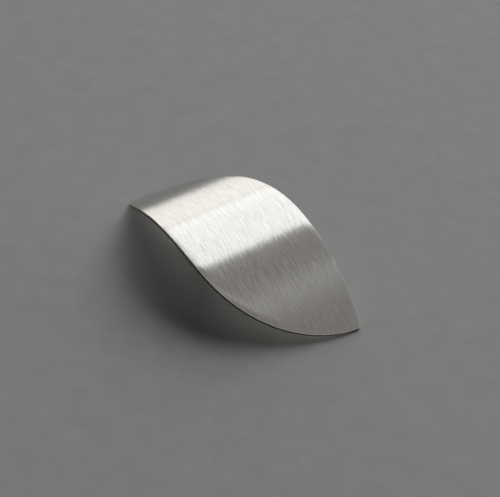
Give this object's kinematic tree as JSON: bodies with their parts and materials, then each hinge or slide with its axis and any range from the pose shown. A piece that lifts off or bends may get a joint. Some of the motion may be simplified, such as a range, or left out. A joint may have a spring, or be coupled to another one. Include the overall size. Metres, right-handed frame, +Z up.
{
  "type": "leaf pendant",
  "caption": "Pointed leaf of thin brushed silver sheet, fuller along its front edge and bent over in one hump, with a hidden ring bail soldered under the hump for a neck wire.",
  "frame": {"origin": "on the surface that the leaf stands on, under the middle of its box", "axes": "+Z up from that surface; Y along the straight lines that the sheet is bent about, and along the bail's axis; +X along the bent profile, from the steep tip over the hump and down the fall to the far tip"},
  "size_m": [0.0416, 0.023, 0.0114],
  "materials": {
    "brushed_silver": "sterling silver, satin, brushed across the bend",
    "drawn_silver": "sterling silver, drawn strip bent round and softly polished",
    "silver_solder": "silver solder, matt as it flowed"
  },
  "bodies": {
    "root": {"leaf_blade": "brushed_silver", "bail_ring": "drawn_silver", "solder_seam": "silver_solder"}
  },
  "joints": []
}
